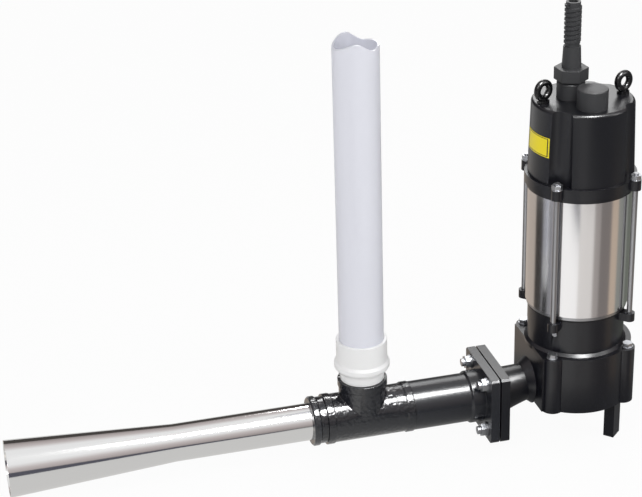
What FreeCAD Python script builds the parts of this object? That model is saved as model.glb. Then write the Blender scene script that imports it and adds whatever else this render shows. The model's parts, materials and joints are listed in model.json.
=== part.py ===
import FreeCAD, Part
import math
import os
import Sketcher

# Submersible jet aerator: a vertical sewage pump drives water through a nozzle, the tee draws air
# down the upright pipe, and the stainless tube and cone carry the mixture out.
# Pieces are drawn round the pump shaft as Z, with the jet line at z = 0 leaving towards -X. The last
# placement moves each one so that the origin lies on the floor under the middle of the whole unit.

doc = FreeCAD.newDocument("JetAerator")
sheet = doc.addObject("Spreadsheet::Sheet", "Sizes")
FULL_TURN = 360
QUARTERS = (45, 135, 225, 315)


class Dim:
    """A size that carries its number and the spreadsheet formula behind it."""

    def __init__(self, value, text):
        self.value = float(value)
        self.text = text

    def joined(self, other, symbol, value):
        other_text = other.text if isinstance(other, Dim) else f"({float(other)})"
        return Dim(value, f"({self.text} {symbol} {other_text})")

    def __add__(self, other):
        return self.joined(other, "+", self.value + number(other))

    def __sub__(self, other):
        return self.joined(other, "-", self.value - number(other))

    def __mul__(self, other):
        return self.joined(other, "*", self.value * number(other))

    def __truediv__(self, other):
        return self.joined(other, "/", self.value / number(other))

    def __neg__(self):
        return Dim(-self.value, f"(0 - {self.text})")

    def __radd__(self, other):
        return self + other

    def __rmul__(self, other):
        return self * other

    def __rsub__(self, other):
        return -self + other


def number(size):
    return size.value if isinstance(size, Dim) else float(size)


def cell(alias, value):
    """Puts one driving dimension in the next row of the sheet and gives it a name."""
    cell.row += 1
    address = f"B{cell.row}"
    sheet.set(f"A{cell.row}", alias)
    sheet.set(address, str(value))
    sheet.setAlias(address, alias)
    return Dim(value, f"Sizes.{alias}")


cell.row = 0


def turned_about(radius, degrees):
    """The x and y of a point at a radius and an angle round the pump shaft."""
    angle = math.radians(degrees)
    x = Dim(number(radius) * math.cos(angle), f"({radius.text} * cos({degrees}))")
    y = Dim(number(radius) * math.sin(angle), f"({radius.text} * sin({degrees}))")
    return x, y


# Casing, suction plate and feet
foot_height = cell("foot_height", 74)
foot_inset = cell("foot_inset", 10)
foot_depth = cell("foot_depth", 16)
foot_width = cell("foot_width", 23)
foot_direction = cell("foot_direction", 46)
heel_width = cell("heel_width", 30)
heel_depth = cell("heel_depth", 24)
casing_overhang = cell("casing_overhang", 12)
casing_bottom = cell("casing_bottom", -10)
casing_top = cell("casing_top", 67)
casing_floor = cell("casing_floor", 10)
flat_depth = cell("flat_depth", 10)
casing_wall = cell("casing_wall", 21)
spiral_growth = cell("spiral_growth", 4)
plate_ledge = cell("plate_ledge", 6)
plate_inset = cell("plate_inset", 6)
plate_thickness = cell("plate_thickness", 6)
suction_radius = cell("suction_radius", 28)
suction_lip = cell("suction_lip", 8)
suction_lip_wall = cell("suction_lip_wall", 5)
suction_lead = cell("suction_lead", 4)
plate_screw_inset = cell("plate_screw_inset", 3)
plate_screw_radius = cell("plate_screw_radius", 1.5)
plate_screw_head = cell("plate_screw_head", 3)
plate_screw_length = cell("plate_screw_length", 8)
casing_bolt_offset = cell("casing_bolt_offset", 12.3)
casing_lug_radius = cell("casing_lug_radius", 16)
casing_lug_inset = cell("casing_lug_inset", 5.3)
casing_bolt_radius = cell("casing_bolt_radius", 4)
casing_bolt_depth = cell("casing_bolt_depth", 20)
casing_bolt_across = cell("casing_bolt_across", 13)
casing_bolt_head = cell("casing_bolt_head", 5.5)
washer_thickness = cell("washer_thickness", 1.2)
washer_margin = cell("washer_margin", 4)
# Discharge neck and square flanges
flange_width = cell("flange_width", 116)
flange_height = cell("flange_height", 104.5)
flange_thickness = cell("flange_thickness", 13.5)
flange_corner = cell("flange_corner", 3)
flange_face = cell("flange_face", 135.3)
gasket_thickness = cell("gasket_thickness", 2)
flange_bolt_spacing = cell("flange_bolt_spacing", 75)
flange_bolt_radius = cell("flange_bolt_radius", 6)
flange_bolt_across = cell("flange_bolt_across", 18)
stud_depth = cell("stud_depth", 12.5)
flange_nut_height = cell("flange_nut_height", 7.5)
flange_bolt_end = cell("flange_bolt_end", 5)
flange_washer = cell("flange_washer", 2)
neck_radius = cell("neck_radius", 36)
neck_root_radius = cell("neck_root_radius", 26)
neck_rise = cell("neck_rise", 14)
neck_flare = cell("neck_flare", 10)
neck_flare_length = cell("neck_flare_length", 13)
neck_overlap = cell("neck_overlap", 1)
passage_radius = cell("passage_radius", 26.5)
passage_root_radius = cell("passage_root_radius", 19)
# Seal housing
deck_thickness = cell("deck_thickness", 11)
spigot_depth = cell("spigot_depth", 7)
housing_inset = cell("housing_inset", 4)
housing_top = cell("housing_top", 134)
oil_wall = cell("oil_wall", 13)
oil_floor = cell("oil_floor", 75)
oil_roof = cell("oil_roof", 114.5)
tie_offset = cell("tie_offset", 8.7)
deck_fillet = cell("deck_fillet", 4)
tie_lug_radius = cell("tie_lug_radius", 8)
tie_lug_height = cell("tie_lug_height", 12.7)
tie_lug_rise = cell("tie_lug_rise", 0.7)
web_overlap = cell("web_overlap", 8)
tie_radius = cell("tie_radius", 4)
tie_across = cell("tie_across", 14)
tie_nut = cell("tie_nut", 6.5)
tie_tail = cell("tie_tail", 2.5)
register_clearance = cell("register_clearance", 5.2)
register_height = cell("register_height", 16)
register_wall = cell("register_wall", 8)
gasket_inset = cell("gasket_inset", 3)
gasket_height = cell("gasket_height", 3)
seat_ring_inset = cell("seat_ring_inset", 1.5)
seat_ring_height = cell("seat_ring_height", 5.6)
plug_level = cell("plug_level", 111)
plug_direction = cell("plug_direction", 223.5)
plug_radius = cell("plug_radius", 2.5)
plug_head_radius = cell("plug_head_radius", 3.5)
plug_head = cell("plug_head", 2)
# Motor
shell_radius = cell("shell_radius", 75)
shell_wall = cell("shell_wall", 1.8)
shell_top = cell("shell_top", 329)
stator_bottom = cell("stator_bottom", 185)
stator_length = cell("stator_length", 100)
stator_bore = cell("stator_bore", 37.1)
rotor_gap = cell("rotor_gap", 0.5)
winding_length = cell("winding_length", 25)
winding_inner = cell("winding_inner", 42)
winding_clearance = cell("winding_clearance", 5.2)
winding_round = cell("winding_round", 6)
tip_radius = cell("tip_radius", 6)
tip_bottom = cell("tip_bottom", 4)
hub_seat_radius = cell("hub_seat_radius", 10)
hub_bottom = cell("hub_bottom", 14)
hub_top = cell("hub_top", 52)
seal_seat_radius = cell("seal_seat_radius", 11.5)
lower_journal = cell("lower_journal", 12.5)
middle_radius = cell("middle_radius", 15)
neck_of_shaft = cell("neck_of_shaft", 12)
upper_journal = cell("upper_journal", 10)
shaft_top = cell("shaft_top", 350)
# Bearings
lower_bearing_outer = cell("lower_bearing_outer", 26)
lower_bearing_width = cell("lower_bearing_width", 15)
upper_bearing_outer = cell("upper_bearing_outer", 23.5)
upper_bearing_width = cell("upper_bearing_width", 14)
race_thickness = cell("race_thickness", 3.4)
ball_radius = cell("ball_radius", 3)
cage_width = cell("cage_width", 8.5)
cage_gap = cell("cage_gap", 0.15)
cage_thickness = cell("cage_thickness", 1.6)
# Shaft seal
seat_outer = cell("seat_outer", 16)
seat_bore = cell("seat_bore", 12.2)
seat_height = cell("seat_height", 8)
face_outer = cell("face_outer", 15)
face_height = cell("face_height", 5)
spring_outer = cell("spring_outer", 14.5)
spring_wall = cell("spring_wall", 1.6)
spring_pitch = cell("spring_pitch", 4)
spring_turns = 5
shaft_step = cell("shaft_step", 15)
plug_reach = cell("plug_reach", 30)
# Impeller
impeller_radius = cell("impeller_radius", 48)
impeller_hub = cell("impeller_hub", 17)
impeller_disc = cell("impeller_disc", 6)
disc_draft = cell("disc_draft", 2)
hub_taper = cell("hub_taper", 3)
hub_taper_height = cell("hub_taper_height", 8)
disc_bottom = cell("disc_bottom", 40)
vane_bottom = cell("vane_bottom", 12)
vane_radius = cell("vane_radius", 32)
vane_thickness = cell("vane_thickness", 4)
vane_offset = cell("vane_offset", 31)
vane_overlap = cell("vane_overlap", 3)
vane_count = 6
vane_start = 80
vane_sweep = cell("vane_sweep", 75)
impeller_nut_across = cell("impeller_nut_across", 19)
impeller_nut_lift = cell("impeller_nut_lift", 2)
key_width = cell("key_width", 4)
key_length = cell("key_length", 20)
# Top cover
lip_height = cell("lip_height", 6)
lip_wall = cell("lip_wall", 2)
rim_step = cell("rim_step", 2.7)
rim_height = cell("rim_height", 15)
cover_overhang = cell("cover_overhang", 1)
cover_draft = cell("cover_draft", 3)
cover_top = cell("cover_top", 453)
cover_roof = cell("cover_roof", 8)
cover_round = cell("cover_round", 5)
cover_side_wall = cell("cover_side_wall", 12)
cover_spigot = cell("cover_spigot", 14)
cover_spigot_wall = cell("cover_spigot_wall", 6.9)
bearing_wall_top = cell("bearing_wall_top", 353)
bearing_wall_bottom = cell("bearing_wall_bottom", 333)
bearing_cap = cell("bearing_cap", 4)
channel_radius = cell("channel_radius", 22)
channel_offset = cell("channel_offset", 11)
wire_hole_radius = cell("wire_hole_radius", 9)
wire_hole_circle = cell("wire_hole_circle", 42)
# Lifting eyes, cable gland and blind cap
eye_inset = cell("eye_inset", 13)
eye_boss_radius = cell("eye_boss_radius", 10)
eye_boss_height = cell("eye_boss_height", 24)
eye_ring_radius = cell("eye_ring_radius", 11)
eye_section = cell("eye_section", 4.8)
eye_rise = cell("eye_rise", 18)
eye_collar_radius = cell("eye_collar_radius", 9)
eye_collar = cell("eye_collar", 4)
eye_shank = cell("eye_shank", 5)
eye_depth = cell("eye_depth", 12)
eye_turn = 20
gland_x = cell("gland_x", -16)
gland_y = cell("gland_y", 8)
gland_radius = cell("gland_radius", 20)
gland_height = cell("gland_height", 25)
gland_thread = cell("gland_thread", 14)
gland_stub = cell("gland_stub", 15)
gland_stub_height = cell("gland_stub_height", 11)
gland_nut_across = cell("gland_nut_across", 42.5)
gland_bevel = cell("gland_bevel", 2)
gland_nut_turn = 37
gland_nut_gap = cell("gland_nut_gap", 2)
gland_nut_height = cell("gland_nut_height", 18)
grommet_radius = cell("grommet_radius", 11.7)
grommet_seat = cell("grommet_seat", 13)
cable_radius = cell("cable_radius", 6.5)
cable_gap = cell("cable_gap", 2)
thread_depth = cell("thread_depth", 12)
sleeve_radius = cell("sleeve_radius", 13.8)
sleeve_neck = cell("sleeve_neck", 12.3)
sleeve_height = cell("sleeve_height", 31)
sleeve_bore = cell("sleeve_bore", 7)
rib_radius = cell("rib_radius", 12)
rib_root = cell("rib_root", 10.7)
rib_pitch = cell("rib_pitch", 6.5)
rib_groove = 0.2
rib_slope = 0.35
rib_count = 9
sleeve_end = cell("sleeve_end", 5.5)
cap_x = cell("cap_x", -3)
cap_y = cell("cap_y", -40)
cap_radius = cell("cap_radius", 21.8)
cap_height = cell("cap_height", 28)
cap_round = cell("cap_round", 1.5)
# Jet pipe, nozzle and tee
hub_radius = cell("hub_radius", 39)
hub_length = cell("hub_length", 19)
hub_chamfer = cell("hub_chamfer", 3)
pipe_radius = cell("pipe_radius", 36.2)
pipe_end = cell("pipe_end", 259)
pipe_bore = cell("pipe_bore", 27)
joint_radius = cell("joint_radius", 32.5)
joint_length = cell("joint_length", 16)
nozzle_lip = cell("nozzle_lip", 5)
nozzle_entry = cell("nozzle_entry", 28)
nozzle_mouth = cell("nozzle_mouth", 16)
nozzle_bore = cell("nozzle_bore", 13)
nozzle_taper = cell("nozzle_taper", 55)
nozzle_land = cell("nozzle_land", 10)
tee_radius = cell("tee_radius", 36)
tee_rim = cell("tee_rim", 37.5)
tee_rim_length = cell("tee_rim_length", 11)
tee_end = cell("tee_end", 390)
tee_bore = cell("tee_bore", 30)
branch_line = cell("branch_line", 330)
branch_radius = cell("branch_radius", 34.8)
branch_rim = cell("branch_rim", 36.3)
branch_top = cell("branch_top", 61)
branch_rim_height = cell("branch_rim_height", 11)
branch_bore = cell("branch_bore", 27)
branch_thread = cell("branch_thread", 30)
branch_thread_depth = cell("branch_thread_depth", 24)
# Diffuser
socket_radius = cell("socket_radius", 34.3)
socket_length = cell("socket_length", 10)
socket_depth = cell("socket_depth", 20)
collar_radius = cell("collar_radius", 36.5)
collar_length = cell("collar_length", 11)
collar_bevel = cell("collar_bevel", 2)
seal_groove = cell("seal_groove", 31)
seal_length = cell("seal_length", 5)
tube_radius = cell("tube_radius", 27.3)
tube_wall = cell("tube_wall", 2)
tube_start = cell("tube_start", 372)
cone_start = cell("cone_start", 612)
outlet_line = cell("outlet_line", 851)
outlet_radius = cell("outlet_radius", 41)
# Air pipe
adaptor_ring = cell("adaptor_ring", 32)
adaptor_ring_height = cell("adaptor_ring_height", 16)
adaptor_bore = cell("adaptor_bore", 26)
adaptor_radius = cell("adaptor_radius", 37)
adaptor_bulge = cell("adaptor_bulge", 40.5)
adaptor_top = cell("adaptor_top", 125)
bulge_low = cell("bulge_low", 79)
bulge_high = cell("bulge_high", 92)
bulge_rise = cell("bulge_rise", 3)
bulge_fall = cell("bulge_fall", 4)
air_pipe_radius = cell("air_pipe_radius", 32.5)
air_pipe_wall = cell("air_pipe_wall", 3)
air_pipe_spigot = cell("air_pipe_spigot", 32.1)
spigot_shoulder = cell("spigot_shoulder", 2)
air_pipe_bottom = cell("air_pipe_bottom", 87)
air_pipe_top = cell("air_pipe_top", 577)
wave_depth = cell("wave_depth", 14)
WAVE_LEVELS = ((-1, 1), (-0.6, 0.35), (-0.15, 0), (0.25, 0.55), (0.55, 0.8), (0.8, 0.65), (1, 0.75))
# Clearances
fit_gap = cell("fit_gap", 0.05)
body_gap = cell("body_gap", 0.3)
bolt_gap = cell("bolt_gap", 0.5)
end_gap = cell("end_gap", 1)
doc.recompute()

# Levels and stations worked out from the sizes above
deck_top = casing_top + deck_thickness
ring_bottom = housing_top + gasket_height
shell_bottom = ring_bottom + seat_ring_height
shell_bore = shell_radius - shell_wall
housing_radius = shell_radius - housing_inset
casing_radius = housing_radius + casing_overhang
casing_bolt_circle = housing_radius + casing_bolt_offset
casing_lug_circle = casing_bolt_circle - casing_lug_inset
casing_flat = casing_radius - flat_depth
chamber_radius = casing_radius - casing_wall
plate_radius = chamber_radius - plate_inset
plate_screw_circle = plate_radius - plate_screw_inset
floor_opening = plate_radius - plate_ledge
foot_reach = casing_radius - foot_inset
oil_radius = housing_radius - oil_wall
register_radius = shell_bore - register_clearance
seat_ring_radius = shell_radius - seat_ring_inset
gasket_radius = shell_radius - gasket_inset
tie_circle = shell_radius + tie_offset
winding_outer = shell_bore - winding_clearance
lip_radius = shell_radius + body_gap + lip_wall
rim_radius = lip_radius + rim_step
cover_radius = shell_radius + cover_overhang
cover_top_radius = cover_radius - cover_draft
cavity_radius = cover_top_radius - cover_side_wall
cover_spigot_bore = shell_bore - cover_spigot_wall - body_gap
channel_circle = cover_radius + channel_offset
eye_circle = cover_top_radius - eye_inset
rim_top = shell_top + rim_height
plate_top = casing_bottom + plate_thickness
lower_bearing_z = housing_top - lower_bearing_width
upper_bearing_z = bearing_wall_top - bearing_cap - upper_bearing_width
tie_lug_bottom = housing_top - tie_lug_height + tie_lug_rise
companion_face = flange_face + gasket_thickness
companion_back = companion_face + flange_thickness
gland_nut_z = cover_top + gland_height + gland_nut_gap
sleeve_z = gland_nut_z + gland_nut_height
nozzle_start = pipe_end + joint_length
collar_start = tee_end + socket_length
middle_x = (outlet_line - casing_radius) / 2
HALF = math.sin(math.radians(45))


def bind(item, prop, size):
    """Ties one property to the sheet, or sets a plain number."""
    if isinstance(size, Dim):
        item.setExpression(prop, size.text)
    elif "." not in prop:
        setattr(item, prop, size)
    else:
        item.setExpression(prop, str(float(size)))


positions = {}


def place(item, at=(0, 0, 0), turn=None):
    positions[item.Name] = at
    if turn is not None:
        item.Placement = FreeCAD.Placement(FreeCAD.Vector(0, 0, 0), turn)
    for letter, size in zip("xyz", at):
        if isinstance(size, Dim) or size:
            bind(item, f"Placement.Base.{letter}", size)
    return item


UP = FreeCAD.Rotation()
TO_X = FreeCAD.Rotation(FreeCAD.Vector(0, 1, 0), -90)


def about_z(degrees):
    return FreeCAD.Rotation(FreeCAD.Vector(0, 0, 1), degrees)


def cylinder(name, radius, height, at=(0, 0, 0), turn=UP):
    item = doc.addObject("Part::Cylinder", name)
    bind(item, "Radius", radius)
    bind(item, "Height", height)
    return place(item, at, turn)


def cone(name, radius, end_radius, height, at=(0, 0, 0), turn=UP):
    item = doc.addObject("Part::Cone", name)
    bind(item, "Radius1", radius)
    bind(item, "Radius2", end_radius)
    bind(item, "Height", height)
    return place(item, at, turn)


def box(name, length, width, height, at=(0, 0, 0), turn=UP):
    item = doc.addObject("Part::Box", name)
    bind(item, "Length", length)
    bind(item, "Width", width)
    bind(item, "Height", height)
    return place(item, at, turn)


def prism(name, across_flats, height, at=(0, 0, 0), turn=UP, sides=6):
    """A regular prism whose size is given across its flats."""
    item = doc.addObject("Part::Prism", name)
    item.Polygon = sides
    bind(item, "Circumradius", across_flats / (2 * math.cos(math.pi / sides)))
    bind(item, "Height", height)
    return place(item, at, turn)


def fuse(name, pieces):
    item = doc.addObject("Part::MultiFuse", name)
    item.Shapes = pieces
    item.Refine = True
    return item


def cut(name, base, tools):
    item = doc.addObject("Part::Cut", name)
    item.Base = base
    item.Tool = tools[0] if len(tools) == 1 else fuse(name + "_tools", tools)
    item.Refine = True
    return item


def group(name, pieces):
    item = doc.addObject("Part::Compound", name)
    item.Links = pieces
    return item


def profile(body, name, corners):
    """A closed outline on the XZ plane. A corner with a third value is rounded to that radius."""
    sketch = body.newObject("Sketcher::SketchObject", name)
    plane = [f for f in body.Origin.OriginFeatures if f.Role == "XZ_Plane"][0]
    sketch.AttachmentSupport = [(plane, "")]
    sketch.MapMode = "FlatFace"
    ends = []
    for index, corner in enumerate(corners):
        before, after = corners[index - 1], corners[(index + 1) % len(corners)]
        if len(corner) == 2:
            ends.append([corner])
            continue
        x, y, radius = corner
        pair = []
        for near in (before, after):
            along_x = sign(number(near[0]) - number(x))
            along_y = sign(number(near[1]) - number(y))
            pair.append((x + radius * along_x, y + radius * along_y))
        ends.append(pair)
    trace(sketch, corners, ends)
    return sketch


def sign(value):
    return 0 if abs(value) < 1e-6 else math.copysign(1, value)


def trace(sketch, corners, ends):
    """Draws the lines and corner arcs of an outline and ties each end to its size."""
    for index, pair in enumerate(ends):
        start, end = pair[-1], ends[(index + 1) % len(ends)][0]
        add_line(sketch, start, end)
        if len(pair) == 2:
            add_arc(sketch, corners[index], pair)


def add_line(sketch, start, end):
    if all(abs(number(a) - number(b)) < 1e-6 for a, b in zip(start, end)):
        return
    points = [FreeCAD.Vector(number(p[0]), number(p[1]), 0) for p in (start, end)]
    line = sketch.addGeometry(Part.LineSegment(*points), False)
    for point_index, point in ((1, start), (2, end)):
        tie(sketch, line, point_index, point)


def add_arc(sketch, corner, pair):
    radius = corner[2]
    first, last = [FreeCAD.Vector(number(p[0]), number(p[1]), 0) for p in pair]
    peak = FreeCAD.Vector(number(corner[0]), number(corner[1]), 0)
    centre = first + last - peak
    middle = centre + (peak - centre).normalize() * number(radius)
    arc = sketch.addGeometry(Part.Arc(first, middle, last), False)
    flipped = (sketch.Geometry[arc].StartPoint - first).Length > 1e-6
    tie(sketch, arc, 2 if flipped else 1, pair[0])
    tie(sketch, arc, 1 if flipped else 2, pair[1])
    held = sketch.addConstraint(Sketcher.Constraint("Radius", arc, number(radius)))
    if isinstance(radius, Dim):
        sketch.setExpression(f"Constraints[{held}]", radius.text)


def tie(sketch, geometry, point_index, point):
    for kind, size in zip(("DistanceX", "DistanceY"), point):
        if abs(number(size)) < 1e-6:
            axis = -2 if kind == "DistanceX" else -1
            sketch.addConstraint(Sketcher.Constraint("PointOnObject", geometry, point_index, axis))
            continue
        held = sketch.addConstraint(Sketcher.Constraint(kind, geometry, point_index, number(size)))
        if isinstance(size, Dim):
            sketch.setExpression(f"Constraints[{held}]", size.text)


def turned(name, corners, axis="V_Axis", at=(0, 0, 0)):
    """A turned piece: the outline runs round the Z axis, or round the X axis with H_Axis."""
    body = doc.addObject("PartDesign::Body", name)
    sketch = profile(body, name + "_outline", corners)
    feature = body.newObject("PartDesign::Revolution", name + "_turn")
    feature.Profile = sketch
    feature.ReferenceAxis = (sketch, [axis])
    feature.Angle = FULL_TURN
    sketch.Visibility = False
    body.Tip = feature
    return place(body, at)


nodes = {}


def keep(name, item):
    """Moves a finished piece to the shared frame and gives it the label that names its file."""
    x, y, z = positions.get(item.Name, (0, 0, 0))
    place(item, (x + middle_x, y, z + foot_height))
    item.Label = name
    nodes[name] = item
    return item


def radial_box(name, inner, outer, width, height, z, degrees):
    """A block that reaches outwards between two radii in one direction."""
    lean_x, lean_y = turned_about(width / 2, degrees - 90)
    start_x, start_y = turned_about(inner, degrees)
    return box(name, outer - inner, width, height, (start_x + lean_x, start_y + lean_y, z), about_z(degrees))


def plan_block(name, z, height):
    """The plan that casing and deck share: a disc with four bolt lugs, cut flat on the jet side."""
    disc = cylinder(name + "_disc", casing_radius, height, (0, 0, z))
    lugs = []
    for degrees in QUARTERS:
        at = (*turned_about(casing_lug_circle, degrees), z)
        lugs.append(cylinder(f"{name}_lug_{degrees}", casing_lug_radius, height, at))
        lugs.append(radial_box(f"{name}_web_{degrees}", casing_radius / 2, casing_lug_circle,
                               casing_lug_radius * 2, height, z, degrees))
    half = casing_bolt_circle * HALF
    cheek = box(name + "_cheek", casing_flat, half * 2, height, (-casing_flat, -half, z))
    whole = fuse(name + "_blank", [disc, cheek] + lugs)
    beyond = box(name + "_beyond", casing_radius, casing_radius * 4, height,
                 (-casing_flat - casing_radius, casing_radius * -2, z))
    return cut(name + "_plan", whole, [beyond])


def flange_plate(name, face, thickness):
    """A four-cornered plate with clipped corners across the jet line, its far face at the given station."""
    plate = box(name + "_plate", thickness, flange_width, flange_height,
                (-face, -flange_width / 2, -flange_height / 2))
    across = ((flange_width + flange_height) / 2 - flange_corner) * math.sqrt(2)
    turn = FreeCAD.Rotation(FreeCAD.Vector(1, 0, 0), 45)
    diamond = box(name + "_diamond", thickness, across, across, (-face, 0, -across / math.sqrt(2)), turn)
    item = doc.addObject("Part::Common", name + "_square")
    item.Base = plate
    item.Tool = diamond
    return item


def at_flange(name, make):
    """One piece at each corner of the square bolt pattern."""
    half = flange_bolt_spacing / 2
    corners = ((-1, -1), (-1, 1), (1, -1), (1, 1))
    return [make(f"{name}_{index}", half * side, half * rise) for index, (side, rise) in enumerate(corners)]


def round_pump(name, radius, make, directions=QUARTERS):
    """One piece in each direction round the pump."""
    return [make(f"{name}_{degrees}", *turned_about(radius, degrees)) for degrees in directions]


def across_line(name, radius, station, rise):
    """A circle across the jet line, for a loft."""
    item = doc.addObject("Part::Circle", name)
    bind(item, "Radius", radius)
    return place(item, (-station, 0, rise), TO_X)


def loft(name, sections):
    item = doc.addObject("Part::Loft", name)
    item.Sections = sections
    item.Solid = True
    return item


def make_casing():
    """Spiral chamber, bolt bosses, discharge neck with its flange, and the feet it stands on."""
    height = casing_top - casing_bottom
    feet = [radial_box(f"foot_{side}", foot_reach - foot_depth, foot_reach, foot_width,
                       foot_height + casing_bottom + casing_floor / 2, -foot_height,
                       side * number(foot_direction)) for side in (-1, 1)]
    heel = box("heel", heel_depth, heel_width, foot_height - flange_height / 2 + flange_corner,
               (-flange_face, -heel_width / 2, -foot_height))
    neck_end = flange_face - flange_thickness / 2
    neck = loft("neck", [
        across_line("neck_root", neck_root_radius, casing_flat - casing_floor, neck_rise),
        across_line("neck_middle", (neck_root_radius + neck_radius) / 2, (casing_flat + neck_end) / 2,
                    neck_rise / 2),
        across_line("neck_end", neck_radius, neck_end, 0)])
    shroud = cone("neck_foot", neck_root_radius + neck_flare, neck_root_radius, neck_flare_length,
                  (-casing_flat + neck_overlap, 0, neck_rise), TO_X)
    plate = flange_plate("pump_flange", flange_face, flange_thickness)
    blank = fuse("casing_blank", [plan_block("casing", casing_bottom, height), plate, neck, shroud, heel] + feet)
    passage = loft("passage", [
        across_line("passage_root", passage_root_radius, chamber_radius - spiral_growth * 2, neck_rise),
        across_line("passage_end", passage_radius, flange_face, 0)])
    floor = casing_bottom + casing_floor
    chamber = cylinder("chamber", chamber_radius, casing_top - floor, (0, 0, floor))
    spiral = cylinder("spiral", chamber_radius, casing_top - floor - spigot_depth - spiral_growth,
                      (-spiral_growth, -spiral_growth, floor))
    opening = cylinder("floor_hole", floor_opening, casing_floor, (0, 0, casing_bottom))
    recess = cylinder("plate_recess", plate_radius + body_gap, plate_thickness, (0, 0, casing_bottom))
    bores = round_pump("casing_thread", casing_bolt_circle, lambda name, x, y: cylinder(
        name, casing_bolt_radius + fit_gap, casing_bolt_depth, (x, y, casing_top - casing_bolt_depth)))
    bores += round_pump("plate_thread", plate_screw_circle, lambda name, x, y: cylinder(
        name, plate_screw_radius + fit_gap, plate_screw_length, (x, y, casing_bottom)))
    bores += at_flange("stud_hole", lambda name, y, z: cylinder(
        name, flange_bolt_radius + fit_gap, stud_depth, (-flange_face + stud_depth, y, z), TO_X))
    keep("volute_casing", cut("casing_cut", blank, [passage, chamber, spiral, opening, recess] + bores))


def make_suction_plate():
    plate = turned("suction_disc", [
        (suction_radius + suction_lead, casing_bottom), (plate_radius, casing_bottom),
        (plate_radius, plate_top), (suction_radius + suction_lip_wall, plate_top),
        (suction_radius + suction_lip_wall, plate_top + suction_lip),
        (suction_radius, plate_top + suction_lip), (suction_radius, casing_bottom + suction_lead)])
    holes = round_pump("plate_hole", plate_screw_circle, lambda name, x, y: cylinder(
        name, plate_screw_radius + body_gap, plate_thickness, (x, y, casing_bottom)))
    keep("suction_plate", cut("suction_plate_cut", plate, holes))
    screws = []
    for degrees in QUARTERS:
        x, y = turned_about(plate_screw_circle, degrees)
        shank = cylinder(f"plate_screw_shank_{degrees}", plate_screw_radius, plate_screw_length - body_gap,
                         (x, y, casing_bottom))
        head = cylinder(f"plate_screw_head_{degrees}", plate_screw_head, plate_screw_radius,
                        (x, y, casing_bottom - plate_screw_radius))
        screws.append(fuse(f"plate_screw_{degrees}", [shank, head]))
    keep("suction_plate_screws", group("plate_screws", screws))


def make_housing():
    """Seal and oil housing: deck, drum, tie rod lugs, bearing bore and the register for the motor."""
    deck = plan_block("deck", casing_top, deck_thickness)
    drum = turned("housing_drum", [
        (seat_outer + fit_gap, casing_top - spigot_depth), (chamber_radius - body_gap, casing_top - spigot_depth),
        (chamber_radius - body_gap, casing_top),
        (housing_radius + deck_fillet, casing_top + deck_thickness / 2),
        (housing_radius + deck_fillet, deck_top), (housing_radius, deck_top + deck_fillet),
        (housing_radius, housing_top),
        (register_radius, housing_top), (register_radius, housing_top + register_height),
        (register_radius - register_wall, housing_top + register_height),
        (register_radius - register_wall, housing_top), (seat_outer + fit_gap, housing_top)])
    low = tie_lug_bottom
    lugs = []
    for degrees in QUARTERS:
        at = (*turned_about(tie_circle, degrees), low)
        lugs.append(cylinder(f"tie_lug_{degrees}", tie_lug_radius, tie_lug_height, at))
        lugs.append(radial_box(f"tie_web_{degrees}", housing_radius - web_overlap, tie_circle,
                               tie_lug_radius * 2, tie_lug_height - tie_lug_rise, low, degrees))
    blank = fuse("housing_blank", [deck, drum] + lugs)
    oil = cylinder("oil_space", oil_radius, oil_roof - oil_floor, (0, 0, oil_floor))
    well = cylinder("seal_well", seat_outer + fit_gap, housing_top - casing_top + spigot_depth,
                    (0, 0, casing_top - spigot_depth))
    bearing = cylinder("lower_bearing_bore", lower_bearing_outer + fit_gap, lower_bearing_width,
                       (0, 0, lower_bearing_z))
    bores = round_pump("deck_hole", casing_bolt_circle, lambda name, x, y: cylinder(
        name, casing_bolt_radius + bolt_gap, deck_thickness, (x, y, casing_top)))
    bores += round_pump("lower_tie_hole", tie_circle, lambda name, x, y: cylinder(
        name, tie_radius + fit_gap, tie_lug_height, (x, y, low)))
    plug_x, plug_y = turned_about(oil_radius - plug_radius, number(plug_direction))
    plug_turn = about_z(number(plug_direction)).multiply(FreeCAD.Rotation(FreeCAD.Vector(0, 1, 0), 90))
    bores.append(cylinder("plug_hole", plug_radius + fit_gap, plug_reach, (plug_x, plug_y, plug_level), plug_turn))
    keep("seal_housing", cut("housing_cut", blank, [oil, well, bearing] + bores))
    seat_x, seat_y = turned_about(oil_radius + end_gap, number(plug_direction))
    face_x, face_y = turned_about(housing_radius, number(plug_direction))
    stem = cylinder("plug_stem", plug_radius, housing_radius - oil_radius - end_gap,
                    (seat_x, seat_y, plug_level), plug_turn)
    head = prism("plug_head", plug_head_radius * 2, plug_head, (face_x, face_y, plug_level), plug_turn)
    keep("oil_plug", fuse("plug", [stem, head]))


def washer_set(name, z, circle, radius, thickness, extra):
    rings = []
    for degrees in QUARTERS:
        at = (*turned_about(circle, degrees), z)
        outside = cylinder(f"{name}_out_{degrees}", radius + extra, thickness, at)
        inside = cylinder(f"{name}_in_{degrees}", radius + bolt_gap / 2, thickness, at)
        rings.append(cut(f"{name}_{degrees}", outside, [inside]))
    return group(name, rings)


def make_casing_bolts():
    keep("casing_bolt_washers", washer_set("casing_washer", deck_top, casing_bolt_circle, casing_bolt_radius,
                                           washer_thickness, washer_margin))
    bolts = []
    for degrees in QUARTERS:
        x, y = turned_about(casing_bolt_circle, degrees)
        low = casing_top - casing_bolt_depth + end_gap
        shank = cylinder(f"casing_shank_{degrees}", casing_bolt_radius, deck_top + washer_thickness - low,
                         (x, y, low))
        head = prism(f"casing_head_{degrees}", casing_bolt_across, casing_bolt_head,
                     (x, y, deck_top + washer_thickness), about_z(degrees))
        bolts.append(fuse(f"casing_bolt_{degrees}", [shank, head]))
    keep("casing_bolts", group("casing_bolt_set", bolts))


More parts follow.
